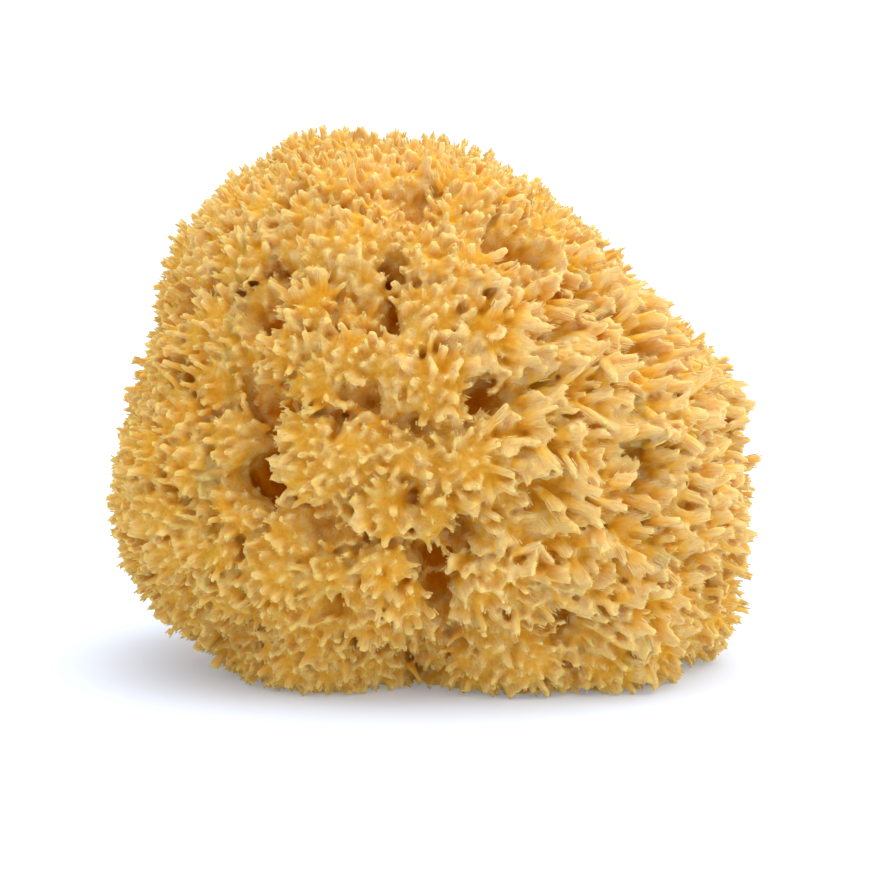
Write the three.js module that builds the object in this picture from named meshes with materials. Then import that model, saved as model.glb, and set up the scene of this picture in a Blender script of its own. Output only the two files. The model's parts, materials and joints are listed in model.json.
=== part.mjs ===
// A natural wool sponge: one soft lumpy body, cut flat where it grew on the rock.
// Lobes swell out of it, oscules (the holes it breathed through) sink into it,
// and a fleece of pointed tufts covers everything but the cut.
// Millimetres, +Z up. The origin is on the cut base, under the sponge's heart, and -Y is the front.

import * as THREE from 'three';
import { ConvexHull } from 'three/addons/math/ConvexHull.js';
import { ImprovedNoise } from 'three/addons/math/ImprovedNoise.js';

const { lerp, smoothstep, clamp, seededRandom } = THREE.MathUtils;

// Driving dimensions, over the tips of the tufts
const WIDTH = 150;
const HEIGHT = 120;
const FRONT_DEPTH = 58;
const BACK_DEPTH = 64;

// The body grows outwards from its heart, on the axis of the cut base
const HEART_HEIGHT = 0.38 * HEIGHT;
const HEART = new THREE.Vector3(0, 0, HEART_HEIGHT);
const ROUNDNESS = 2.2; // 2 would be an ellipse from front to back, more is boxier

// Front outline over the tuft tips: x in shares of the width, z in shares of the height.
// Below z = 0 the outline runs on under the cut.
const OUTLINE = [
  [-0.29, -0.06], [-0.355, 0.025], [-0.435, 0.14], [-0.51, 0.275], [-0.51, 0.42],
  [-0.46, 0.56], [-0.41, 0.685], [-0.35, 0.865], [-0.235, 0.97], [-0.05, 0.99],
  [0.075, 0.97], [0.19, 0.875], [0.265, 0.78], [0.35, 0.68], [0.455, 0.555],
  [0.46, 0.45], [0.495, 0.29], [0.46, 0.145], [0.43, 0.01], [0.3, -0.08], [0, -0.1],
];
const OUTLINE_STEPS = 480;
const FRONT_RIM = 0.98; // of the way out to the outline: places beyond it are drawn in to it

// Lobes: the hand-placed ones of the front at [x, z], and evenly spread ones elsewhere
const LOBE_RISE = 7.5;
const LOBE_SETBACK = 0.65; // of the rise, by which the body is drawn in under its lobes
const LOBE_REACH = 0.31; // radians, seen from the heart
const LOBE_COUNT = 76;
const LOBE_CLEARANCE = 0.8; // of the lobes' even spacing, kept free about the hand-placed ones
const FRONT_LOBES = [
  [-43, 102], [-23, 110], [-4, 114], [14, 107], [30, 98], [45, 85], [-53, 77], [-25, 79],
  [-20, 98], [3, 90], [18, 82], [35, 72], [-1, 73], [-22, 55], [-58, 54], [-61, 33], [-47, 27],
  [-30, 24], [-13, 22], [-5, 46], [13, 52], [27, 58], [56, 58], [62, 38], [33, 36], [16, 28], [49, 20],
];

// Oscules of the front: [x, z, radius, depth]
const FRONT_OSCULES = [
  [-32, 92, 4.5, 7], [-36, 83, 5.5, 9], [-54, 83, 5, 6], [-9, 93, 3.5, 8], [-9, 82, 3.5, 8],
  [-17, 86, 4, 5], [15, 99, 5.5, 9], [20, 96, 4.5, 8], [-4, 108, 5, 6], [8, 106, 4, 5],
  [-42, 47, 6.5, 13], [-37, 63, 4, 7], [-37, 55, 4, 6], [-15, 67, 3.5, 7], [11, 67, 4, 8],
  [-4, 61, 3.5, 5], [-5, 44, 4, 6], [47, 50, 5, 9], [41, 39, 4, 8], [7, 34, 5, 9],
  [-3, 30, 3.5, 8], [2, 26, 4.5, 11], [1, 19, 4.5, 10], [23, 23, 3.5, 7], [32, 14, 4.5, 7],
  [-21, 20, 4, 7], [-26, 36, 3.5, 6], [-49, 36, 4, 6], [46, 74, 4, 6], [25, 80, 4, 6],
];
const OTHER_OSCULES = 34;
const OTHER_OSCULE_RADIUS = [3.5, 6];
const OTHER_OSCULE_DEPTH = [6, 12];
const OSCULE_CLEARANCE = 0.7; // of their even spacing, kept free about the hand-placed ones
const OSCULE_RIM = 1.25; // of the radius, where the skin starts to sink
const LOWEST_OSCULE = 1.1; // radians from straight down

// Tufts: short pegs over most of the body, and a long combed-out fleece on the right
const TUFT_COUNT = 1900;
const BASE_SHARE = 0.05; // of the tuft places that fall on the cut, the share kept
const TUFT_LENGTH = 4.4;
const FLEECE_LENGTH = 7;
const FLEECE_HEART = new THREE.Vector3(44, -36, 58);
const FLEECE_REACH = 62;
const FLEECE_CORE = 0.35; // of the reach, with tufts of the full length
const FLEECE_SWEEP = new THREE.Vector3(1, 0.1, -0.12);
const SWEEP_SHARE = 0.75; // sideways reach of a fleece tuft for each unit of its length
const LENGTH_SPREAD = 0.28;
const PLACE_JITTER = 0.42; // of the spacing between tufts
const LOWEST_TUFT = 2.5; // roots nearer to the cut than this stay bare
const BARE_SHARE = 0.18; // deeper than this share of an oscule, no tuft grows

const ROUGHNESS_HEIGHT = 1.1;
const ROUGHNESS_SIZE = 9;
const SLOPE_STEP = 0.06; // radians to each side, over which the slope of the skin is taken
const SEED = 23;

const GOLDEN_ANGLE = Math.PI * (3 - Math.sqrt(5));
const DOWN = new THREE.Vector3(0, 0, -1);
const noise = new ImprovedNoise();
seededRandom(SEED);

// The angle between neighbours when a number of directions is spread evenly
function evenSpacing(count) {
  return Math.sqrt((4 * Math.PI) / count);
}

// Evenly spread directions, each moved at random by up to a share of their spacing
function spreadDirections(count, jitter) {
  const shift = () => (seededRandom() * 2 - 1) * jitter * evenSpacing(count);
  return Array.from({ length: count }, (_, i) => {
    const z = 1 - (2 * i + 1) / count;
    const ring = Math.sqrt(1 - z * z);
    const turn = i * GOLDEN_ANGLE;
    const direction = new THREE.Vector3(ring * Math.cos(turn), ring * Math.sin(turn), z);
    return direction.add(new THREE.Vector3(shift(), shift(), shift())).normalize();
  });
}

// The front outline as a table from the angle about the heart to the distance from it
function outlineTable() {
  const points = OUTLINE.map(([x, z]) => new THREE.Vector3(x * WIDTH, 0, z * HEIGHT).sub(HEART));
  const curve = new THREE.CatmullRomCurve3(points, true, 'centripetal');
  return curve
    .getPoints(OUTLINE_STEPS)
    .slice(1)
    .map((p) => ({ angle: Math.atan2(p.z, p.x), reach: Math.hypot(p.x, p.z) }))
    .sort((a, b) => a.angle - b.angle);
}

const outline = outlineTable();

function outlineReach(angle) {
  let after = outline.findIndex((entry) => entry.angle > angle);
  if (after < 0) after = 0;
  const before = outline.at(after - 1);
  const gap = (outline[after].angle - before.angle + 2 * Math.PI) % (2 * Math.PI);
  const passed = (angle - before.angle + 2 * Math.PI) % (2 * Math.PI);
  return lerp(before.reach, outline[after].reach, gap > 0 ? passed / gap : 0);
}

// Distance from the heart to the tuft tips of the plain body, without lobes and oscules
function bodyReach(direction) {
  const angle = Math.atan2(direction.z, direction.x);
  const across = Math.hypot(direction.x, direction.z) / outlineReach(angle);
  const along = Math.abs(direction.y) / (direction.y < 0 ? FRONT_DEPTH : BACK_DEPTH);
  return (across ** ROUNDNESS + along ** ROUNDNESS) ** (-1 / ROUNDNESS);
}

// Direction from the heart to the point of the plain front that shows at x, z
function frontDirection(x, z) {
  const side = new THREE.Vector3(x, 0, z).sub(HEART);
  const angle = Math.atan2(side.z, side.x);
  const share = clamp(Math.hypot(side.x, side.z) / outlineReach(angle), 0, FRONT_RIM);
  side.y = -FRONT_DEPTH * (1 - share ** ROUNDNESS) ** (1 / ROUNDNESS);
  return side.normalize();
}

function isFree(direction, others, angle) {
  return others.every((other) => direction.angleTo(other) > angle);
}

function lobeCentres() {
  const front = FRONT_LOBES.map(([x, z]) => frontDirection(x, z));
  const clear = LOBE_CLEARANCE * evenSpacing(LOBE_COUNT);
  const others = spreadDirections(LOBE_COUNT, PLACE_JITTER);
  return [...front, ...others.filter((direction) => isFree(direction, front, clear))];
}

const lobes = lobeCentres();

// Height of the lobes' domes, with a furrow where two of them meet
function lobeHeight(direction) {
  const nearest = Math.min(...lobes.map((lobe) => direction.angleTo(lobe)));
  return LOBE_RISE * (1 - Math.min(nearest / LOBE_REACH, 1) ** 2 - LOBE_SETBACK);
}

function fleeceShare(point) {
  return 1 - smoothstep(point.distanceTo(FLEECE_HEART), FLEECE_CORE * FLEECE_REACH, FLEECE_REACH);
}

function tuftLength(point) {
  return lerp(TUFT_LENGTH, FLEECE_LENGTH, fleeceShare(point));
}

// The skin that the tufts stand on, without oscules
function smoothSkin(direction) {
  const reach = bodyReach(direction);
  const tip = direction.clone().multiplyScalar(reach).add(HEART);
  const root = reach - tuftLength(tip) + lobeHeight(direction);
  return direction.clone().multiplyScalar(root).add(HEART);
}

function osculeOf(direction, radius, depth) {
  return { mouth: smoothSkin(direction), radius, depth };
}

function allOscules() {
  const taken = FRONT_OSCULES.map(([x, z]) => frontDirection(x, z));
  const front = FRONT_OSCULES.map(([, , radius, depth], i) => osculeOf(taken[i], radius, depth));
  const pick = ([low, high]) => lerp(low, high, seededRandom());
  const clear = OSCULE_CLEARANCE * evenSpacing(OTHER_OSCULES);
  const others = spreadDirections(OTHER_OSCULES, PLACE_JITTER)
    .filter((direction) => isFree(direction, taken, clear) && direction.angleTo(DOWN) > LOWEST_OSCULE)
    .map((direction) => osculeOf(direction, pick(OTHER_OSCULE_RADIUS), pick(OTHER_OSCULE_DEPTH)));
  return [...front, ...others];
}

const oscules = allOscules();

// How far the oscules sink the skin at a point, and the largest share of an oscule's depth there
function osculeSink(point) {
  let depth = 0;
  let share = 0;
  for (const oscule of oscules) {
    const away = Math.min(point.distanceTo(oscule.mouth) / (OSCULE_RIM * oscule.radius), 1);
    const here = (1 - away * away) ** 2;
    depth = Math.max(depth, here * oscule.depth);
    share = Math.max(share, here);
  }
  return { depth, share };
}

function skinPoint(direction) {
  const point = smoothSkin(direction);
  const place = point.clone().divideScalar(ROUGHNESS_SIZE);
  const rough = ROUGHNESS_HEIGHT * noise.noise(place.x, place.y, place.z);
  return point.addScaledVector(direction, rough - osculeSink(point).depth);
}

// Which way a tuft leans out of the skin: half along the lobe's own slope, half away from the heart
function tuftAxis(direction) {
  const isSteep = Math.abs(direction.z) > Math.abs(direction.x);
  const east = new THREE.Vector3().crossVectors(direction, isSteep ? FLEECE_SWEEP : DOWN).normalize();
  const north = new THREE.Vector3().crossVectors(direction, east);
  const beside = (side, step) => smoothSkin(direction.clone().addScaledVector(side, step).normalize());
  const along = beside(east, SLOPE_STEP).sub(beside(east, -SLOPE_STEP));
  const up = beside(north, SLOPE_STEP).sub(beside(north, -SLOPE_STEP));
  return along.cross(up).normalize().add(direction).normalize();
}

function tuftTip(direction) {
  const root = skinPoint(direction);
  if (root.z < LOWEST_TUFT || osculeSink(smoothSkin(direction)).share > BARE_SHARE) return root;
  const axis = tuftAxis(direction);
  const length = tuftLength(root) * (1 + LENGTH_SPREAD * (seededRandom() * 2 - 1));
  const sweep = FLEECE_SWEEP.clone().projectOnPlane(axis);
  axis.addScaledVector(sweep, SWEEP_SHARE * fleeceShare(root));
  return root.addScaledVector(axis, length);
}

// Triangles of the convex hull of directions, as rows of three of them
function hullTriangles(directions) {
  return new ConvexHull().setFromPoints(directions).faces.map((face) => {
    const corners = [];
    let edge = face.edge;
    do {
      corners.push(edge.head().point);
      edge = edge.next;
    } while (edge !== face.edge);
    return corners;
  });
}

function isOnBase(direction) {
  return smoothSkin(direction).z < 0;
}

// Every tuft is a raised vertex, and the middle of each triangle of tufts is a valley between them
function spongeGeometry() {
  const tufts = spreadDirections(TUFT_COUNT, PLACE_JITTER)
    .filter((direction) => !isOnBase(direction) || seededRandom() < BASE_SHARE);
  const valleys = hullTriangles(tufts)
    .map(([a, b, c]) => new THREE.Vector3().add(a).add(b).add(c).normalize());
  const directions = [...tufts, ...valleys];
  const place = new Map(directions.map((direction, i) => [direction, i]));
  const points = [...tufts.map(tuftTip), ...valleys.map(skinPoint)];
  for (const point of points) point.z = Math.max(point.z, 0);
  const geometry = new THREE.BufferGeometry().setFromPoints(points);
  geometry.setIndex(hullTriangles(directions).flat().map((direction) => place.get(direction)));
  geometry.computeVertexNormals();
  return geometry;
}

const spongeMaterial = new THREE.MeshStandardMaterial({ color: 0xdca652, roughness: 0.95, metalness: 0 });
const sponge = new THREE.Mesh(spongeGeometry(), spongeMaterial);
sponge.name = 'sponge';

const seaSponge = new THREE.Group();
seaSponge.add(sponge);

export default seaSponge;
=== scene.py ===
import json
import math

import bmesh
import bpy
import numpy as np
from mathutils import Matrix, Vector, noise
from mathutils.kdtree import KDTree

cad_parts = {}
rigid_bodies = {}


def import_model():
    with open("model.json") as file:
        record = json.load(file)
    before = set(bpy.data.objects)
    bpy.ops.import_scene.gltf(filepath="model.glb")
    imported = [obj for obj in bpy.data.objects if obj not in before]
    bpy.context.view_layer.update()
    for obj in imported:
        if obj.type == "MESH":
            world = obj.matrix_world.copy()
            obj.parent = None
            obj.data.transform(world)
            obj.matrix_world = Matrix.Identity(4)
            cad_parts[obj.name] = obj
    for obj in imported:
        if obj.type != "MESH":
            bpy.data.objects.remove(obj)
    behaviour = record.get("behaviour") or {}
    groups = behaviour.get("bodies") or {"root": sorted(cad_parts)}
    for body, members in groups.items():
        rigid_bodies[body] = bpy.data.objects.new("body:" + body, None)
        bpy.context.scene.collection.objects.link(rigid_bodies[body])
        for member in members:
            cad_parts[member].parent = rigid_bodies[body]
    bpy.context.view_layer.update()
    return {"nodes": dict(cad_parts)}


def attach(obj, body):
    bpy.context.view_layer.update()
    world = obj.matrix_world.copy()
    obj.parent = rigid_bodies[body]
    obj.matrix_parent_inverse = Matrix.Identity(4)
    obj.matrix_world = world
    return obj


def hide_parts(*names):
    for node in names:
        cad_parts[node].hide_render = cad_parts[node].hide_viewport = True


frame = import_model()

# Natural wool sponge. The solid gives the body, the oscules and where the tufts stand; here skin and
# tufts grow into one porous surface, with combed-out blades, split points and loose fibres on it.
mm = 0.001
rng = np.random.default_rng(11)


# Small helpers for arrays of points

def unit(vectors):
    return vectors / np.maximum(np.linalg.norm(vectors, axis=-1, keepdims=True), 1e-12)


def mixed(first, second, share):
    return first + (second - first) * share


def smoothStep(low, high, values):
    share = np.clip((values - low) / (high - low), 0, 1)
    return share * share * (3 - 2 * share)


def turnedAbout(vectors, axes, angles):
    sine, cosine = np.sin(angles)[:, None], np.cos(angles)[:, None]
    along = (vectors * axes).sum(1, keepdims=True)
    return vectors * cosine + np.cross(axes, vectors) * sine + axes * along * (1 - cosine)


def edgesOf(tris):
    pairs = np.vstack([tris[:, [0, 1]], tris[:, [1, 2]], tris[:, [2, 0]]])
    pairs = np.sort(pairs.astype(np.int64), axis=1)
    size = tris.max() + 1
    keys = np.unique(pairs[:, 0] * size + pairs[:, 1])
    return np.stack([keys // size, keys % size], axis=1)


def neighbourMean(values, edges, weights):
    one, two = edges.T
    size = len(values)
    total = np.bincount(one, weights[two], size) + np.bincount(two, weights[one], size)
    mean = np.empty_like(values)
    for axis in range(3):
        part = values[:, axis] * weights
        mean[:, axis] = np.bincount(one, part[two], size) + np.bincount(two, part[one], size)
    return mean / np.maximum(total, 1e-9)[:, None]


def relaxed(verts, edges, rounds):
    evenly = np.ones(len(verts))
    for _ in range(rounds):
        verts = mixed(verts, neighbourMean(verts, edges, evenly), 0.5)
    return verts


def vertexNormals(verts, tris):
    a, b, c = (verts[tris[:, i]] for i in range(3))
    faceNormals = np.cross(b - a, c - a)
    normals = np.zeros_like(verts)
    for axis in range(3):
        for corner in range(3):
            normals[:, axis] += np.bincount(tris[:, corner], faceNormals[:, axis], len(verts))
    return unit(normals)


def nearest(points, targets, count):
    tree = KDTree(len(targets))
    for i, target in enumerate(targets):
        tree.insert(target, i)
    tree.balance()
    found = [tree.find_n(point, count) for point in points]
    away = np.array([[hit[2] for hit in row] for row in found])
    which = np.array([[hit[1] for hit in row] for row in found])
    return away, which


def noiseAt(points, size):
    return np.array([noise.noise(Vector(point) / size) for point in points])


# Meshes from arrays and back

def meshArrays(mesh):
    verts = np.empty(len(mesh.vertices) * 3)
    mesh.vertices.foreach_get("co", verts)
    mesh.calc_loop_triangles()
    tris = np.empty(len(mesh.loop_triangles) * 3, np.int32)
    mesh.loop_triangles.foreach_get("vertices", tris)
    return verts.reshape(-1, 3), tris.reshape(-1, 3)


def meshFrom(name, verts, tris):
    mesh = bpy.data.meshes.new(name)
    mesh.vertices.add(len(verts))
    mesh.vertices.foreach_set("co", np.ascontiguousarray(verts, np.float32).ravel())
    mesh.loops.add(tris.size)
    mesh.loops.foreach_set("vertex_index", np.ascontiguousarray(tris, np.int32).ravel())
    mesh.polygons.add(len(tris))
    mesh.polygons.foreach_set("loop_start", np.arange(0, tris.size, 3, dtype=np.int32))
    mesh.update(calc_edges=True)
    return mesh


def reshaped(verts, tris, kind, **settings):
    mesh = meshFrom("draft", verts, tris)
    draft = bpy.data.objects.new("draft", mesh)
    bpy.context.scene.collection.objects.link(draft)
    modifier = draft.modifiers.new("reshape", kind)
    for name, value in settings.items():
        setattr(modifier, name, value)
    graph = bpy.context.evaluated_depsgraph_get()
    done = bpy.data.meshes.new_from_object(draft.evaluated_get(graph))
    arrays = meshArrays(done)
    bpy.data.objects.remove(draft)
    bpy.data.meshes.remove(mesh)
    bpy.data.meshes.remove(done)
    return arrays


def voxelMesh(verts, tris, size):
    return reshaped(verts, tris, "REMESH", mode="VOXEL", voxel_size=size)


def joined(parts):
    offsets = np.cumsum([0] + [len(verts) for verts, _ in parts])
    verts = np.vstack([verts for verts, _ in parts])
    return verts, np.vstack([tris + offset for (_, tris), offset in zip(parts, offsets)])


def addPiece(name, verts, tris, pointUv, material, smooth):
    verts = np.column_stack([verts[:, :2], np.maximum(verts[:, 2], 0)])
    mesh = meshFrom(name, verts, tris)
    mesh.polygons.foreach_set("use_smooth", np.full(len(tris), smooth))
    mesh.uv_layers.new(name="OFBake").uv.foreach_set("vector", pointUv[tris.ravel()].ravel())
    mesh.materials.append(material)
    piece = bpy.data.objects.new(name, mesh)
    bpy.context.scene.collection.objects.link(piece)
    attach(piece, "root")
    print(f"{name}: {len(tris)} triangles")
    return piece


# The fleece of the solid: which of its corners are tuft tips, and where their roots are

fleece = {
    "leastRise": 1.8 * mm,              # a corner that stands this far over its neighbours is a tip
    "longFrom": 5.0 * mm,               # tufts longer than this start to be combed-out blades
    "longTo": 7.6 * mm,
}


def readFleece(node):
    welded = bmesh.new()
    welded.from_mesh(node.data)
    bmesh.ops.remove_doubles(welded, verts=welded.verts, dist=0.001 * mm)
    mesh = bpy.data.meshes.new("weldedSolid")
    welded.to_mesh(mesh)
    welded.free()
    verts, tris = meshArrays(mesh)
    bpy.data.meshes.remove(mesh)
    edges = edgesOf(tris)
    normals = vertexNormals(verts, tris)
    around = neighbourMean(verts, edges, np.ones(len(verts)))
    isTip = ((verts - around) * normals).sum(1) > fleece["leastRise"]
    roots = neighbourMean(verts, edges, np.where(isTip, 0.0, 1.0))[isTip]
    tips = verts[isTip].copy()
    verts[isTip] = roots
    return verts, tris, roots, tips - roots


bareVerts, bareTris, solidRoots, solidReach = readFleece(frame["nodes"]["sponge"])
solidLength = np.linalg.norm(solidReach, axis=1)
_, aroundSolid = nearest(solidRoots, solidRoots, 9)
solidLong = smoothStep(fleece["longFrom"], fleece["longTo"], solidLength[aroundSolid].mean(1))
print(f"fleece: {len(solidRoots)} tufts on the solid")


# The skin under the tufts: the solid with its tufts taken down, its holes and creases sunk further

skin = {
    "voxel": 0.9 * mm,
    "smoothing": 3,
    "holeRounds": 160,                  # a shape relaxed this far spans the holes
    "broadVoxel": 2.2 * mm,
    "creaseRounds": 80,                 # and a coarse one relaxed this far spans creases between lobes
    "holeFrom": 0.8 * mm,
    "holeSink": -0.62,                  # less than nothing: the holes fill up a little
    "creaseFrom": 0.6 * mm,
    "creaseSink": 0.8,
    "creaseLow": 16 * mm,               # creases run out towards the cut, from this height
    "cutHeight": 0.9 * mm,              # skin lower than this belongs to the flat cut
}

skinVerts, skinTris = voxelMesh(bareVerts, bareTris, skin["voxel"])
skinEdges = edgesOf(skinTris)
skinVerts = relaxed(skinVerts, skinEdges, skin["smoothing"])
spanned = relaxed(skinVerts, skinEdges, skin["holeRounds"])
outward = vertexNormals(spanned, skinTris)
onCut = skinVerts[:, 2] < skin["cutHeight"]
hole = np.where(onCut, 0.0, ((spanned - skinVerts) * outward).sum(1))

broadVerts, broadTris = voxelMesh(bareVerts, bareTris, skin["broadVoxel"])
broad = relaxed(broadVerts, edgesOf(broadTris), skin["creaseRounds"])
broadOutward = vertexNormals(broad, broadTris)
_, below = nearest(skinVerts, broadVerts, 1)
crease = ((broad[below[:, 0]] - skinVerts) * broadOutward[below[:, 0]]).sum(1)
crease = np.where(onCut, 0.0, crease - np.median(crease[~onCut]))

sunk = skin["holeSink"] * np.maximum(hole - skin["holeFrom"], 0)
sunk += skin["creaseSink"] * np.maximum(crease - skin["creaseFrom"], 0)
sunk *= smoothStep(0, skin["creaseLow"], skinVerts[:, 2])
skinVerts -= outward * sunk[:, None]
skinVerts[onCut, 2] = 0
print(f"skin: {len(skinTris)} triangles, holes to {(hole + sunk).max() / mm:.1f} mm")


def spreadBetween(places, candidates, spacings):
    cell = spacings.max()
    grid = {}
    steps = [(i, j, k) for i in (-1, 0, 1) for j in (-1, 0, 1) for k in (-1, 0, 1)]

    def cellOf(place):
        return tuple(int(math.floor(value / cell)) for value in place)

    for place in places.tolist():
        grid.setdefault(cellOf(place), []).append(place)
    chosen = []
    for index in rng.permutation(len(candidates)).tolist():
        place = candidates[index].tolist()
        x, y, z = cellOf(place)
        around = (other for i, j, k in steps for other in grid.get((x + i, y + j, z + k), ()))
        if all(math.dist(place, other) > spacings[index] for other in around):
            grid.setdefault((x, y, z), []).append(place)
            chosen.append(index)
    return np.array(chosen)


# Clumps: the tufts stand in bunches that spread like little hands, with grooves between the bunches

clumps = {
    "spacing": 10.0 * mm,
    "grooveWidth": 4.2 * mm,
    "grooveDepth": (0.5 * mm, 6.5 * mm),
    "grooveCombed": 0.7,                # how much of a groove the blades hide
    "patchSize": 11 * mm,               # grooves are deep in patches of about this size
    "patchEdge": (-0.25, 0.3),
    "splay": 0.07,                      # lean away from the middle of the bunch, for each millimetre
}

standing = skinVerts[~onCut]
apart = np.full(len(standing), clumps["spacing"])
bunches = standing[spreadBetween(np.empty((0, 3)), standing, apart)]
toBunch, inBunch = nearest(skinVerts, bunches, 2)
groove = 1 - smoothStep(0, clumps["grooveWidth"], toBunch[:, 1] - toBunch[:, 0])
patch = smoothStep(*clumps["patchEdge"], noiseAt(skinVerts, clumps["patchSize"]))
groove *= mixed(*clumps["grooveDepth"], patch)
_, nearSolid = nearest(skinVerts, solidRoots, 3)
groove *= 1 - clumps["grooveCombed"] * solidLong[nearSolid].mean(1)
groove[onCut] = 0
skinVerts -= outward * groove[:, None]
crease += groove
print(f"clumps: {len(bunches)} bunches")


# Where tufts grow: at every tuft of the solid, evenly between them, and small nubs in the gaps

growth = {
    "pegSpacing": 2.1 * mm,
    "bladeSpacing": 2.9 * mm,
    "nubSpacing": 1.75 * mm,
    "deepestHole": 4.0 * mm,            # nothing grows deeper in a hole than this
    "deepestCrease": 6.0 * mm,
    "lowest": 0.9 * mm,                 # nor nearer to the cut
    "tipLowest": 0.6 * mm,
    "solidShare": (0.76, 0.95),         # of the solid's own tufts
    "lengthShare": (0.55, 0.84),
    "nubShare": (0.35, 0.55),
    "shortIn": (1.0 * mm, 5.0 * mm),    # tufts shorten over this depth of crease
    "shortBy": 0.72,
    "lowIn": (0.0, 12 * mm),            # and from this height down to the cut
    "lowBy": 0.1,
    "lean": 0.2,
    "combTurn": 0.6,                    # how far blades turn from the solid's, in radians
    "combSwing": 2.0,                   # together in patches of combSize
    "combSize": 14 * mm,
    "combLoose": 0.35,                  # and each by itself
}


def grownReach(reach, roots, under, long, shares):
    length = np.linalg.norm(reach, axis=1, keepdims=True)
    reach = reach + rng.normal(scale=growth["lean"], size=reach.shape) * length
    comb = growth["combSwing"] * noiseAt(roots, growth["combSize"])
    comb += rng.normal(scale=growth["combLoose"], size=len(roots))
    reach = turnedAbout(reach, outward[under], comb * growth["combTurn"] * long)
    reach += (roots - bunches[inBunch[under, 0]]) / mm * clumps["splay"] * length
    short = 1 - growth["shortBy"] * smoothStep(*growth["shortIn"], crease[under])
    short *= 1 - growth["lowBy"] * (1 - smoothStep(*growth["lowIn"], roots[:, 2]))
    reach = unit(reach) * length * (rng.uniform(*shares, len(reach)) * short)[:, None]
    reach[:, 2] = np.maximum(reach[:, 2], growth["tipLowest"] - roots[:, 2])
    return reach


_, underSolid = nearest(solidRoots, skinVerts, 1)
inOpen = hole[underSolid[:, 0]] < growth["deepestHole"]
openRoots, openReach, openLong = solidRoots[inOpen], solidReach[inOpen], solidLong[inOpen]
openUnder = underSolid[inOpen, 0]

isFree = (hole < growth["deepestHole"]) & (crease < growth["deepestCrease"])
isFree &= skinVerts[:, 2] > growth["lowest"]
free = np.flatnonzero(isFree)
_, nearOpen = nearest(skinVerts[free], openRoots, 3)
freeLong = openLong[nearOpen].mean(1)
freeReach = openReach[nearOpen].mean(1)
spacing = mixed(growth["pegSpacing"], growth["bladeSpacing"], freeLong)
added = spreadBetween(openRoots, skinVerts[free], spacing)

addedUnder = free[added]
addedRoots, addedLong = skinVerts[addedUnder], freeLong[added]
tuftRoots = np.vstack([openRoots, addedRoots])
tuftUnder = np.concatenate([openUnder, addedUnder])
tuftLong = np.concatenate([openLong, addedLong])
tuftReach = np.vstack([
    grownReach(openReach, openRoots, openUnder, openLong, growth["solidShare"]),
    grownReach(freeReach[added], addedRoots, addedUnder, addedLong, growth["lengthShare"]),
])

nubbed = spreadBetween(tuftRoots, skinVerts[free], np.full(len(free), growth["nubSpacing"]))
nubUnder = free[nubbed]
nubRoots = skinVerts[nubUnder]
nubReach = grownReach(freeReach[nubbed], nubRoots, nubUnder, freeLong[nubbed], growth["nubShare"])
print(f"growth: {len(tuftRoots)} tufts and {len(nubRoots)} nubs")


# Mounds under the tufts, webs between neighbours, pores between those, and the cut canals below

relief = {
    "swell": 0.5 * mm,                  # of the whole skin, so that it rises round the tufts' feet
    "moundRise": 0.05,                  # of the tuft's length
    "moundRadius": 1.4 * mm,
    "webShare": 0.4,                    # of the tufts, those with a web to a neighbour
    "webRise": 0.1,
    "webSteps": (0.35, 0.5, 0.65),      # where a web is raised, from one tuft to the other
    "poreCount": 1100,
    "poreGap": 1.35 * mm,               # pores keep this far from a tuft
    "poreRadius": (0.8 * mm, 1.5 * mm),
    "poreDepth": (0.6 * mm, 1.8 * mm),
    "canalCount": 150,
    "canalRadius": (1.4 * mm, 3.6 * mm),
    "canalDepth": (2.5 * mm, 6.0 * mm),
    "sinkEdge": 0.7,                    # pores and canals have steep walls below 1
    "grainSizes": ((4.0 * mm, 0.4 * mm), (1.6 * mm, 0.25 * mm)),
}


def moundHeight(points):
    length = np.linalg.norm(tuftReach, axis=1)
    _, near = nearest(tuftRoots, tuftRoots, 4)
    webbed = np.flatnonzero(rng.random(len(tuftRoots)) < relief["webShare"])
    partner = near[webbed, rng.integers(1, 4, len(webbed))]
    webs = [mixed(tuftRoots[webbed], tuftRoots[partner], share) for share in relief["webSteps"]]
    webRises = [relief["webRise"] * length[webbed]] * len(webs)
    centres = np.vstack([tuftRoots] + webs)
    rises = np.concatenate([relief["moundRise"] * length] + webRises)
    away, which = nearest(points, centres, 6)
    each = rises[which] * np.exp(-(away / relief["moundRadius"]) ** 2)
    return (each ** 3).sum(1) ** (1 / 3)                    # a soft way to take the highest


def sinkDepth(points, places, radii, depths):
    away, which = nearest(points, places, 3)
    share = np.clip(1 - (away / radii[which]) ** 2, 0, 1)
    return (share ** relief["sinkEdge"] * depths[which]).max(1)


def pickPlaces(candidates, count, radii, depths):
    places = candidates[rng.choice(len(candidates), count, replace=False)]
    return places, rng.uniform(*radii, count), rng.uniform(*depths, count)


grain = sum(rise * noiseAt(skinVerts, size) for size, rise in relief["grainSizes"])
toTuft, _ = nearest(skinVerts, tuftRoots, 1)
betweenTufts = skinVerts[(toTuft[:, 0] > relief["poreGap"]) & ~onCut]
pores = pickPlaces(betweenTufts, relief["poreCount"], relief["poreRadius"], relief["poreDepth"])
canals = pickPlaces(skinVerts[onCut], relief["canalCount"], relief["canalRadius"], relief["canalDepth"])
poreDepth = sinkDepth(skinVerts, *pores)
canalDepth = sinkDepth(skinVerts, *canals)
risen = relief["swell"] + moundHeight(skinVerts) + grain - poreDepth
rise = np.where(onCut, -canalDepth - np.abs(grain), risen)
reliefVerts = skinVerts + vertexNormals(skinVerts, skinTris) * rise[:, None]
reliefVerts[:, 2] = np.maximum(reliefVerts[:, 2], 0)
skinHollow = np.maximum(hole, 0) + sunk + groove + np.where(onCut, canalDepth, poreDepth)
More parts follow.
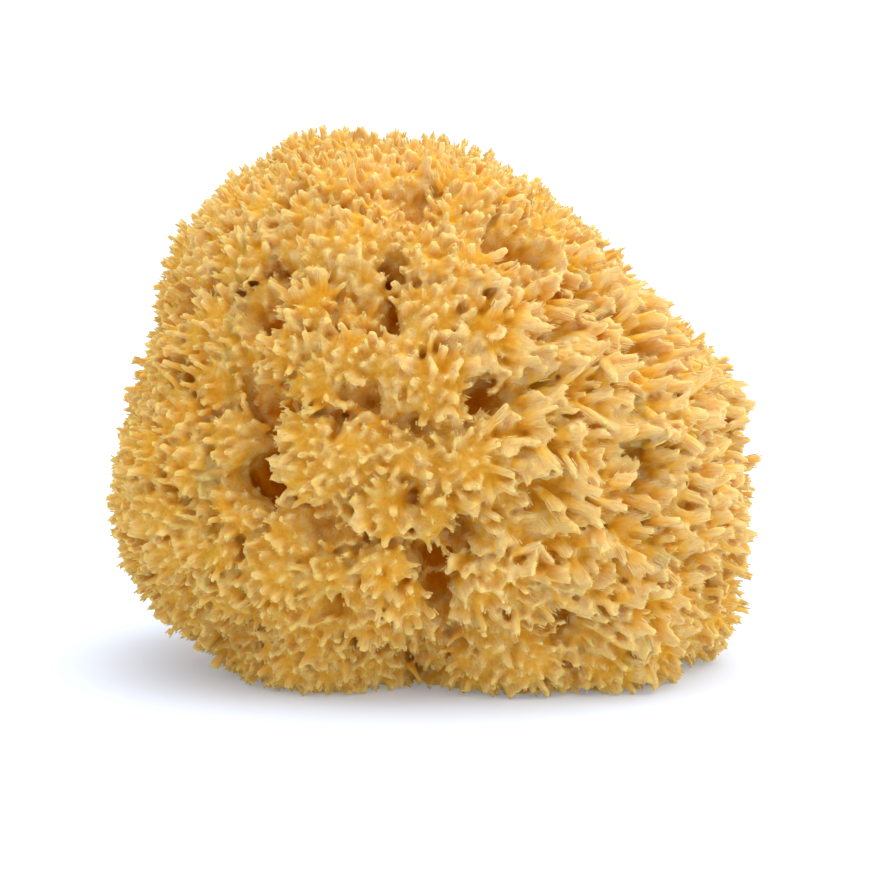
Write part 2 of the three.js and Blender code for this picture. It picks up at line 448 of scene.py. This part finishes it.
print("relief: mounds, webs, pores and cut canals")


# Materials

bodyLook = {
    "hollowShade": (0.72, 0.26, 0.002, 1),       # painted shade inside holes, creases, grooves and pores
    "root": (0.72, 0.355, 0.02, 1),
    "shaft": (0.72, 0.43, 0.08, 1),
    "tip": (0.73, 0.51, 0.17, 1),
    "paleShaft": (0.83, 0.52, 0.11, 1),
    "paleTip": (0.83, 0.61, 0.27, 1),
    # the painted shade of a hollow is full at this depth
    "hollowShadeAt": 5.5 * mm,
    "bareFrom": (1.4 * mm, 2.4 * mm),       # skin this far from any tuft is coloured like a root
    "streaks": 1500,                        # fibres to the metre, running up each tuft
    "streakDrawn": 0.85,                    # how far they are drawn out along it
    "mottle": ((0.34, (0.9, 0.8, 0.58, 1)), (0.6, (1, 1, 1, 1))),
    "mottleShare": 0.85,
    "bump": (0.5, 0.45 * mm),               # strength and height of the fibres
    "roughness": 0.75,
    "glow": 0.88,                           # subsurface share
    "glowReach": 2.8 * mm,
}
tuftLook = {
    "strips": 24,                           # tufts are painted from this many strips, dull ones first
    "fibres": (7, 3),                       # across a strip and along it
    "mottle": ((0.3, (0.86, 0.8, 0.7, 1)), (0.55, (1, 1, 1, 1))),
    "mottleShare": 0.35,
    "bump": (0.3, 0.1 * mm),
    "roughness": 0.75,
    "glow": 0.0,                            # too thin to glow
    "glowReach": 1.0 * mm,
}
glowColour = (1.0, 0.58, 0.18)
gloss = 0.02                                # dry fibre hardly shines, and its gaps stay amber


def newMaterial(name, look):
    material = bpy.data.materials.new(name)
    material.use_nodes = True
    shader = material.node_tree.nodes["Principled BSDF"]
    shader.inputs["Roughness"].default_value = look["roughness"]
    shader.inputs["Specular IOR Level"].default_value = gloss
    shader.inputs["Subsurface Weight"].default_value = look["glow"]
    shader.inputs["Subsurface Radius"].default_value = glowColour
    shader.inputs["Subsurface Scale"].default_value = look["glowReach"]
    return material, material.node_tree, shader


def addNode(tree, kind, **settings):
    node = tree.nodes.new(kind)
    for name, value in settings.items():
        setattr(node, name, value)
    return node


def addRamp(tree, share, stops):
    ramp = addNode(tree, "ShaderNodeValToRGB")
    while len(ramp.color_ramp.elements) < len(stops):
        ramp.color_ramp.elements.new(0.5)
    for element, (place, colour) in zip(ramp.color_ramp.elements, stops):
        element.position = place
        element.color = colour
    tree.links.new(share, ramp.inputs["Fac"])
    return ramp.outputs["Color"]


def addMix(tree, blend, share, first, second):
    mix = addNode(tree, "ShaderNodeMix", data_type="RGBA", blend_type=blend)
    for name, value in (("Factor", share), ("A", first), ("B", second)):
        socket = mix.inputs[name]
        if isinstance(value, bpy.types.NodeSocket):
            tree.links.new(value, socket)
        else:
            socket.default_value = value
    return mix.outputs["Result"]


def addNoise(tree, place, scale, detail):
    texture = addNode(tree, "ShaderNodeTexNoise")
    texture.inputs["Scale"].default_value = scale
    texture.inputs["Detail"].default_value = detail
    tree.links.new(place, texture.inputs["Vector"])
    return texture.outputs["Fac"]


def addBump(tree, height, strength, distance, shader):
    bump = addNode(tree, "ShaderNodeBump")
    bump.inputs["Strength"].default_value = strength
    bump.inputs["Distance"].default_value = distance
    tree.links.new(height, bump.inputs["Height"])
    tree.links.new(bump.outputs["Normal"], shader.inputs["Normal"])


def addTuftColour(tree, tone, height):
    stops = ((0.12, "root"), (0.48, "shaft"), (0.84, "tip"))
    dull = addRamp(tree, height, [(place, bodyLook[name]) for place, name in stops])
    stops = ((0.1, "root"), (0.45, "paleShaft"), (0.82, "paleTip"))
    pale = addRamp(tree, height, [(place, bodyLook[name]) for place, name in stops])
    return addMix(tree, "MIX", tone, dull, pale)


def bodyMaterial():
    material, tree, shader = newMaterial("spongeBody", bodyLook)
    names = ("tone", "height", "hollowShade")
    painted = [addNode(tree, "ShaderNodeAttribute", attribute_name=name) for name in names]
    tone, height, hollowShade = (node.outputs["Fac"] for node in painted)
    comb = addNode(tree, "ShaderNodeAttribute", attribute_name="comb").outputs["Vector"]
    colour = addTuftColour(tree, tone, height)
    # painted shade: the deeper the body lies in a hollow, the darker and more amber it is painted
    colour = addMix(tree, "MIX", hollowShade, colour, bodyLook["hollowShade"])
    streaks = addNoise(tree, comb, bodyLook["streaks"], 3)
    mottle = addRamp(tree, streaks, bodyLook["mottle"])
    colour = addMix(tree, "MULTIPLY", bodyLook["mottleShare"], colour, mottle)
    tree.links.new(colour, shader.inputs["Base Color"])
    addBump(tree, streaks, *bodyLook["bump"], shader)
    return material


def tuftMaterial():
    material, tree, shader = newMaterial("spongeTuft", tuftLook)
    strip = addNode(tree, "ShaderNodeUVMap", uv_map="OFBake").outputs["UV"]
    split = addNode(tree, "ShaderNodeSeparateXYZ")
    tree.links.new(strip, split.inputs["Vector"])
    stretch = addNode(tree, "ShaderNodeMapping")
    across, along = tuftLook["fibres"]
    stretch.inputs["Scale"].default_value = (tuftLook["strips"] * across, along, 1)
    tree.links.new(strip, stretch.inputs["Vector"])
    streaks = addNoise(tree, stretch.outputs["Vector"], 1, 3)
    colour = addTuftColour(tree, split.outputs["X"], split.outputs["Y"])
    mottle = addRamp(tree, streaks, tuftLook["mottle"])
    colour = addMix(tree, "MULTIPLY", tuftLook["mottleShare"], colour, mottle)
    tree.links.new(colour, shader.inputs["Base Color"])
    addBump(tree, streaks, *tuftLook["bump"], shader)
    return material


bodyFinish = bodyMaterial()
tuftFinish = tuftMaterial()
print("materials: body and tuft")


# Tufts: stubby pegs, small nubs between them and flat combed-out blades, which all grow into the body.
# The split points of their crowns and the loose fibres stay pieces of their own.

pegs = {
    "sides": 8,
    "stations": (0.0, 0.25, 0.5, 0.78, 1.0),    # rings up the shaft
    "girths": (1.25, 1.06, 1.02, 1.0, 0.95),    # and how thick it is there
    "radius": (0.66 * mm, 0.95 * mm),
    "oval": (0.8, 1.25), "facing": 0.0, "taper": (0.6, 1.15),
    "crown": (0.1 * mm, 0.3 * mm), "splay": 0.4,
    "sink": 1.0 * mm, "bow": 0.07, "lumps": 0.14, "wobble": 0.1 * mm,
    "paint": (0.0, 0.25, 0.5, 0.78, 1.0),       # how light it is painted at each ring
    "points": 2, "pointLength": (0.1 * mm, 0.45 * mm), "pointRadius": 0.2 * mm,
}
nubs = {
    "sides": 6,
    "stations": (0.0, 0.35, 0.7, 1.0),
    "girths": (1.5, 1.1, 0.98, 0.75),
    "radius": (0.55 * mm, 0.8 * mm),
    "oval": (0.75, 1.3), "facing": 0.0, "taper": (0.7, 1.1),
    "crown": (0.1 * mm, 0.4 * mm), "splay": 0.4,
    "sink": 0.8 * mm, "bow": 0.05, "lumps": 0.12, "wobble": 0.06 * mm,
    "paint": (0.0, 0.28, 0.56, 0.8),
    "points": 1, "pointLength": (0.2 * mm, 0.5 * mm), "pointRadius": 0.18 * mm,
}
blades = {
    "strands": 6,
    "sides": 6,
    "stations": (0.0, 0.25, 0.5, 0.75, 1.0),
    "girths": (1.5, 1.2, 1.0, 0.95, 0.9),
    "radius": (0.68 * mm, 0.95 * mm),
    "oval": (0.9, 1.2), "facing": 0.55,         # 1 lays every flat side outwards
    "taper": (0.7, 1.1),
    "rootWidth": (0.5 * mm, 1.0 * mm),
    "tipWidth": (0.5 * mm, 2.0 * mm),
    "curl": (-0.4, 0.9), "round": 0.2, "uneven": 0.13,
    "sink": 1.0 * mm, "rear": 0.5,              # how far it rises before it bends over
    "lumps": 0.12, "wobble": 0.08 * mm,
    "paint": (0.0, 0.12, 0.3, 0.62, 1.0),
    "points": 20, "pointLength": (0.15 * mm, 0.7 * mm), "pointRadius": 0.1 * mm,
}
crownPoints = {
    "spread": 0.2, "droop": 0.05, "bend": 0.14,
    "foot": 1.4,                                # how thick a point is at its foot
    "paint": (0.78, 0.94, 1.0),                 # at its foot, at the crown and at its end
}
tones = {
    "least": 0.03,
    "lightSlope": (4.0, 0, 6.0),                    # painted light: paler to the right and to the top, where the tent is bright, to the metre
    "patch": 0.35, "patchSize": 17 * mm,
    "long": 0.3,                                # blades are paler
    "creaseShade": 0.06,                               # painted shade: creases duller, for each millimetre
    "spread": 0.16,
}


def tubeFaces(sides, rings):
    here = np.arange(sides)
    after = (here + 1) % sides
    rows = []
    for ring in range(rings - 1):
        low, high = ring * sides, (ring + 1) * sides
        rows.append(np.stack([low + here, low + after, high + after], axis=1))
        rows.append(np.stack([low + here, high + after, high + here], axis=1))
    last, top = (rings - 1) * sides, rings * sides
    rows.append(np.stack([last + here, last + after, np.full(sides, top)], axis=1))
    rows.append(np.stack([after, here, np.full(sides, top + 1)], axis=1))
    return np.vstack(rows)


def closedTubes(rings, top, bottom):
    count, ringCount, sides = rings.shape[:3]
    verts = np.concatenate([rings.reshape(count, -1, 3), top[:, None], bottom[:, None]], axis=1)
    tris = tubeFaces(sides, ringCount) + (np.arange(count) * verts.shape[1])[:, None, None]
    return verts.reshape(-1, 3), tris.reshape(-1, 3)


def stripOf(tone):
    return np.minimum((tone * tuftLook["strips"]).astype(int), tuftLook["strips"] - 1)


def bentPath(start, control, end, stations):
    t = np.array(stations)[:, None]
    return (1 - t) ** 2 * start[:, None] + 2 * t * (1 - t) * control[:, None] + t ** 2 * end[:, None]


def tubeRings(form, path, side, face):
    count, sides = len(path), form["sides"]
    turn = 2 * np.pi * np.arange(sides) / sides
    lumps = 1 + form["lumps"] * rng.normal(size=(count, 1, sides))
    radius = rng.uniform(*form["radius"], (count, 1, 1)) * np.array(form["girths"])[:, None] * lumps
    radius *= rng.uniform(*form["taper"], (count, 1, 1)) ** np.array(form["stations"])[:, None]
    oval = rng.uniform(*form["oval"], (count, 1, 1))
    rings = path[:, :, None] + (radius * oval * np.cos(turn))[..., None] * side[:, None, None]
    rings += (radius / oval * np.sin(turn))[..., None] * face[:, None, None]
    rings[:, 1:] += rng.normal(scale=form["wobble"], size=rings[:, 1:].shape)
    return rings


def sidesOf(form, ahead, up):
    outwards = unit(mixed(unit(rng.normal(size=ahead.shape)), up, form["facing"]))
    side = unit(np.cross(ahead, outwards))
    return side, np.cross(ahead, side)


def growPegs(form, roots, reach, up):
    count = len(roots)
    length = np.linalg.norm(reach, axis=1, keepdims=True)
    ahead = reach / length
    side, face = sidesOf(form, ahead, up)
    start, end = roots - up * form["sink"], roots + reach
    control = (start + end) / 2 + side * length * rng.normal(scale=form["bow"], size=(count, 1))
    path = bentPath(start, control, end, form["stations"])
    rings = tubeRings(form, path, side, face)
    outwards = unit(rings[:, -1] - path[:, -1:])
    crownAhead = unit(ahead[:, None] + form["splay"] * outwards)
    peaks = 1.5 * rng.random((count, form["sides"], 1)) ** 1.5 - 0.35       # few high ones, many low
    rings[:, -1] += crownAhead * peaks * rng.uniform(*form["crown"], (count, 1, 1))
    verts, tris = closedTubes(rings, path[:, -1] + ahead * 0.15 * mm, start)
    crown, below = rings[:, -1], rings[:, -2]
    return {"verts": verts, "tris": tris, "path": path, "crown": crown, "below": below, "ahead": crownAhead}


def growBlades(form, roots, reach, up):
    count, strands = len(roots), form["strands"]
    length = np.linalg.norm(reach, axis=1, keepdims=True)
    side, face = sidesOf(form, reach / length, up)
    place = np.linspace(-1, 1, strands)[:, None]            # of a strand across its blade
    share = 1 - form["round"] * place ** 2
    share = share + rng.normal(scale=form["uneven"], size=(count, strands, 1))
    tipWidth = rng.uniform(*form["tipWidth"], (count, 1, 1))
    curl = rng.uniform(*form["curl"], (count, 1, 1))
    start = (roots - up * form["sink"])[:, None]
    start = start + side[:, None] * place * rng.uniform(*form["rootWidth"], (count, 1, 1))
    end = roots[:, None] + reach[:, None] * share
    end = end + side[:, None] * place * tipWidth + face[:, None] * curl * place ** 2 * tipWidth
    control = start + (up * length * form["rear"])[:, None]
    flat = [part.reshape(-1, 3) for part in (start, control, end)]
    sides, faces = np.repeat(side, strands, axis=0), np.repeat(face, strands, axis=0)
    path = bentPath(*flat, form["stations"])
    rings = tubeRings(form, path, sides, faces)
    verts, tris = closedTubes(rings, flat[2], flat[0])
    crown, below = (rings[:, ring].reshape(count, -1, 3) for ring in (-1, -2))
    crownAhead = np.repeat(unit(end - control), form["sides"], axis=1)
    return {"verts": verts, "tris": tris, "path": path, "crown": crown, "below": below, "ahead": crownAhead}


def growPoints(form, tufts, tone):
    pick = rng.integers(0, tufts["crown"].shape[1], (len(tone), form["points"]))[..., None]
    parts = ("below", "crown", "ahead")
    below, start, ahead = (np.take_along_axis(tufts[part], pick, 1).reshape(-1, 3) for part in parts)
    total = len(start)
    loose = crownPoints["spread"] * rng.normal(size=ahead.shape)
    ahead = unit(ahead + loose - [0, 0, crownPoints["droop"]])
    length = rng.uniform(*form["pointLength"], (total, 1))
    side = unit(np.cross(ahead, rng.normal(size=ahead.shape)))
    face = np.cross(ahead, side)
    bend = side * rng.normal(scale=crownPoints["bend"], size=(total, 1)) * length
    turn = 2 * np.pi * np.arange(3) / 3
    ring = np.cos(turn)[:, None] * side[:, None] + np.sin(turn)[:, None] * face[:, None]
    lower = below[:, None] + ring * form["pointRadius"] * crownPoints["foot"]
    upper = (start + bend)[:, None] + ring * form["pointRadius"]
    end = start + ahead * length - bend
    verts = np.concatenate([lower, upper, end[:, None]], axis=1)
    faces = np.array([[0, 1, 4], [0, 4, 3], [1, 2, 5], [1, 5, 4], [2, 0, 3], [2, 3, 5],
                      [3, 4, 6], [4, 5, 6], [5, 3, 6], [0, 2, 1]])
    tris = faces + (np.arange(total) * 7)[:, None, None]
    u = np.repeat((stripOf(np.repeat(tone, form["points"])) + 0.5) / tuftLook["strips"], 7)
    v = np.tile(np.repeat(crownPoints["paint"], (3, 3, 1)), total)
    return verts.reshape(-1, 3), tris.reshape(-1, 3), np.stack([u, v], axis=1)


def toneAt(roots, long, under):
    # painted light sloping to the right and top, plus the sponge's own random patches of tone
    paintedLightAndPatches = roots @ np.array(tones["lightSlope"]) + tones["patch"] * noiseAt(roots, tones["patchSize"])
    # painted shade: tufts deeper in a crease are painted duller
    tone = tones["least"] + paintedLightAndPatches + tones["long"] * long - tones["creaseShade"] * crease[under] / mm
    return np.clip(tone + rng.normal(scale=tones["spread"], size=len(roots)), 0, 0.999)


isBlade = rng.random(len(tuftRoots)) < tuftLong
tuftTone = toneAt(tuftRoots, tuftLong, tuftUnder)
pegTone, bladeTone = tuftTone[~isBlade], tuftTone[isBlade]
nubTone = toneAt(nubRoots, freeLong[nubbed], nubUnder)
pegPlaces = (tuftRoots[~isBlade], tuftReach[~isBlade], outward[tuftUnder[~isBlade]])
bladePlaces = (tuftRoots[isBlade], tuftReach[isBlade], outward[tuftUnder[isBlade]])
pegTubes = growPegs(pegs, *pegPlaces)
nubTubes = growPegs(nubs, nubRoots, nubReach, outward[nubUnder])
bladeTubes = growBlades(blades, *bladePlaces)
addPiece("pegPoints", *growPoints(pegs, pegTubes, pegTone), tuftFinish, False)
addPiece("nubPoints", *growPoints(nubs, nubTubes, nubTone), tuftFinish, False)
addPiece("bladeFibres", *growPoints(blades, bladeTubes, bladeTone), tuftFinish, False)


# The body: skin, pegs, nubs and blades grown into one surface, kept in four quarters

fusing = {
    "voxel": 0.46 * mm,
    "smoothing": 2,
    "triangles": 650000,
    "quarters": ("spongeFront", "spongeRight", "spongeBack", "spongeLeft"),
    "blend": 0.3 * mm,                  # colours of neighbouring tufts run together over this
    "tipClear": 0.6,                    # how far a tip keeps out of the painted shade of a hollow
    "uvSize": (0.58, 0.34),             # so that a quarter fills its map
}


def fusedBody(parts):
    verts, tris = voxelMesh(*joined(parts), fusing["voxel"])
    verts = relaxed(verts, edgesOf(tris), fusing["smoothing"])
    print(f"body: {len(tris)} triangles before thinning")
    return reshaped(verts, tris, "DECIMATE", ratio=min(1, fusing["triangles"] / len(tris)))


def quarterUv(verts, heart, turn):
    ahead = np.array([math.sin(turn), -math.cos(turn), 0])
    across = np.array([math.cos(turn), math.sin(turn), 0])
    away = unit(verts - heart)
    spread = np.sqrt(2 / (1 + np.maximum(away @ ahead, -0.5)))      # equal area all over the quarter
    return 0.5 + np.stack([away @ across, away[:, 2]], axis=1) * spread[:, None] * fusing["uvSize"]


strandTone = np.repeat(bladeTone, blades["strands"])
tubes = ((pegs, pegTubes, pegTone), (nubs, nubTubes, nubTone), (blades, bladeTubes, strandTone))
parts = [(reliefVerts, skinTris)] + [(grown["verts"], grown["tris"]) for _, grown, _ in tubes]
bodyVerts, bodyTris = fusedBody(parts)
bodyNormals = vertexNormals(bodyVerts, bodyTris)



def onStems(each):
    return np.concatenate([np.repeat(value, len(form["stations"]), axis=0)
                           for (form, _, _), value in zip(tubes, each)])


stem = np.vstack([grown["path"].reshape(-1, 3) for _, grown, _ in tubes])
stemRoot = onStems([grown["path"][:, 0] for _, grown, _ in tubes])
stemLead = onStems([unit(grown["path"][:, -1] - grown["path"][:, 1]) for _, grown, _ in tubes])
stemTone = onStems([tone for _, _, tone in tubes])
stemHeight = np.concatenate([np.tile(form["paint"], len(tone)) for form, _, tone in tubes])
away, which = nearest(bodyVerts, stem, 3)
weight = 1 / (away + fusing["blend"]) ** 2
weight /= weight.sum(1, keepdims=True)
_, under = nearest(bodyVerts, reliefVerts, 1)
height = (stemHeight[which] * weight).sum(1)
height *= 1 - smoothStep(*bodyLook["bareFrom"], away[:, 0])
# painted shade: how deep the skin lies in a hole, crease, groove, pore or canal, kept off the tips
hollowShade = np.clip(skinHollow[under[:, 0]] / bodyLook["hollowShadeAt"], 0, 1)
hollowShade *= 1 - fusing["tipClear"] * height
values = {"tone": (stemTone[which] * weight).sum(1), "height": height, "hollowShade": hollowShade}
lead = stemLead[which[:, 0]]
along = ((bodyVerts - stemRoot[which[:, 0]]) * lead).sum(1, keepdims=True)
comb = bodyVerts - lead * along * bodyLook["streakDrawn"]

heart = (bodyVerts.min(0) + bodyVerts.max(0)) / 2
fromHeart = stemRoot[which[:, 0]] - heart
turns = np.mod(np.arctan2(fromHeart[:, 0], -fromHeart[:, 1]) + np.pi / 4, 2 * np.pi)
quarterOf = np.searchsorted(np.quantile(turns, (0.25, 0.5, 0.75)), turns)
for quarter, name in enumerate(fusing["quarters"]):
    own = bodyTris[quarterOf[bodyTris[:, 0]] == quarter]
    used, corners = np.unique(own, return_inverse=True)
    uv = quarterUv(bodyVerts[used], heart, quarter * np.pi / 2)
    piece = addPiece(name, bodyVerts[used], corners.reshape(-1, 3), uv, bodyFinish, True)
    piece.data.normals_split_custom_set_from_vertices(bodyNormals[used])
    for value, each in values.items():
        piece.data.attributes.new(value, "FLOAT", "POINT").data.foreach_set("value", each[used])
    combed = piece.data.attributes.new("comb", "FLOAT_VECTOR", "POINT")
    combed.data.foreach_set("vector", comb[used].ravel())
    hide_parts("sponge")


# Floor, light and camera

studio = {
    "floorSize": 30.0,
    "floorColour": (0.74, 0.82, 0.97, 1),
    "floorGlow": 0.2,                   # a lit table under the paper
    "skyColour": (1.0, 0.99, 0.97),
    "skyTowards": (0.8, 0, 0.6),        # the tent is brightest up to the right and dim on the left
    "skyStops": ((0.15, 0.1), (0.42, 0.8), (1.0, 1.08)),
    "skyStrength": 1.32,
    "keyStrength": 0.9,                 # a broad soft lamp overhead, a little to the right and in front
    "keyColour": (1.0, 0.96, 0.9),
    "keyTilt": (math.radians(8), math.radians(10), 0),
    "keySpread": math.radians(60),
}
view = {
    "aim": Vector((0.0007, 0, 0.0516)),
    "distance": 0.48,
    "elevation": math.radians(5.8),
    "lens": 87.9,
}


def addFloor():
    half = studio["floorSize"] / 2
    mesh = bpy.data.meshes.new("floor")
    corners = [(-half, -half, 0), (half, -half, 0), (half, half, 0), (-half, half, 0)]
    mesh.from_pydata(corners, [], [(0, 1, 2, 3)])
    material = bpy.data.materials.new("whitePaper")
    material.use_nodes = True
    shader = material.node_tree.nodes["Principled BSDF"]
    shader.inputs["Base Color"].default_value = studio["floorColour"]
    shader.inputs["Roughness"].default_value = 0.9
    shader.inputs["Emission Color"].default_value = studio["floorColour"]
    shader.inputs["Emission Strength"].default_value = studio["floorGlow"]
    shader.inputs["Specular IOR Level"].default_value = 0.0
    mesh.materials.append(material)
    floor = bpy.data.objects.new("floor", mesh)
    bpy.context.scene.collection.objects.link(floor)


def addSky():
    world = bpy.data.worlds.new("whiteTent")
    world.use_nodes = True
    tree = world.node_tree
    towards = addNode(tree, "ShaderNodeVectorMath", operation="DOT_PRODUCT")
    towards.inputs[1].default_value = studio["skyTowards"]
    tree.links.new(addNode(tree, "ShaderNodeTexCoord").outputs["Generated"], towards.inputs[0])
    share = addNode(tree, "ShaderNodeMapRange")
    share.inputs["From Min"].default_value = -1.0
    tree.links.new(towards.outputs["Value"], share.inputs["Value"])
    stops = [(place, (*np.multiply(studio["skyColour"], light), 1))
             for place, light in studio["skyStops"]]
    sky = addRamp(tree, share.outputs["Result"], stops)
    tree.links.new(sky, tree.nodes["Background"].inputs["Color"])
    tree.nodes["Background"].inputs["Strength"].default_value = studio["skyStrength"]
    bpy.context.scene.world = world


def addKey():
    lamp = bpy.data.lights.new("overheadLamp", "SUN")
    lamp.color = studio["keyColour"]
    lamp.energy = studio["keyStrength"]
    lamp.angle = studio["keySpread"]
    key = bpy.data.objects.new("overheadLamp", lamp)
    key.rotation_euler = studio["keyTilt"]
    bpy.context.scene.collection.objects.link(key)


def addCamera():
    lens = bpy.data.cameras.new("camera")
    lens.lens = view["lens"]
    camera = bpy.data.objects.new("camera", lens)
    back = Vector((0, -math.cos(view["elevation"]), math.sin(view["elevation"])))
    camera.location = view["aim"] + back * view["distance"]
    camera.rotation_euler = (math.pi / 2 - view["elevation"], 0, 0)
    bpy.context.scene.collection.objects.link(camera)
    bpy.context.scene.camera = camera


addFloor()
addSky()
addKey()
addCamera()
bpy.context.scene.view_settings.view_transform = "Standard"
print("studio: floor, sky, lamp and camera")
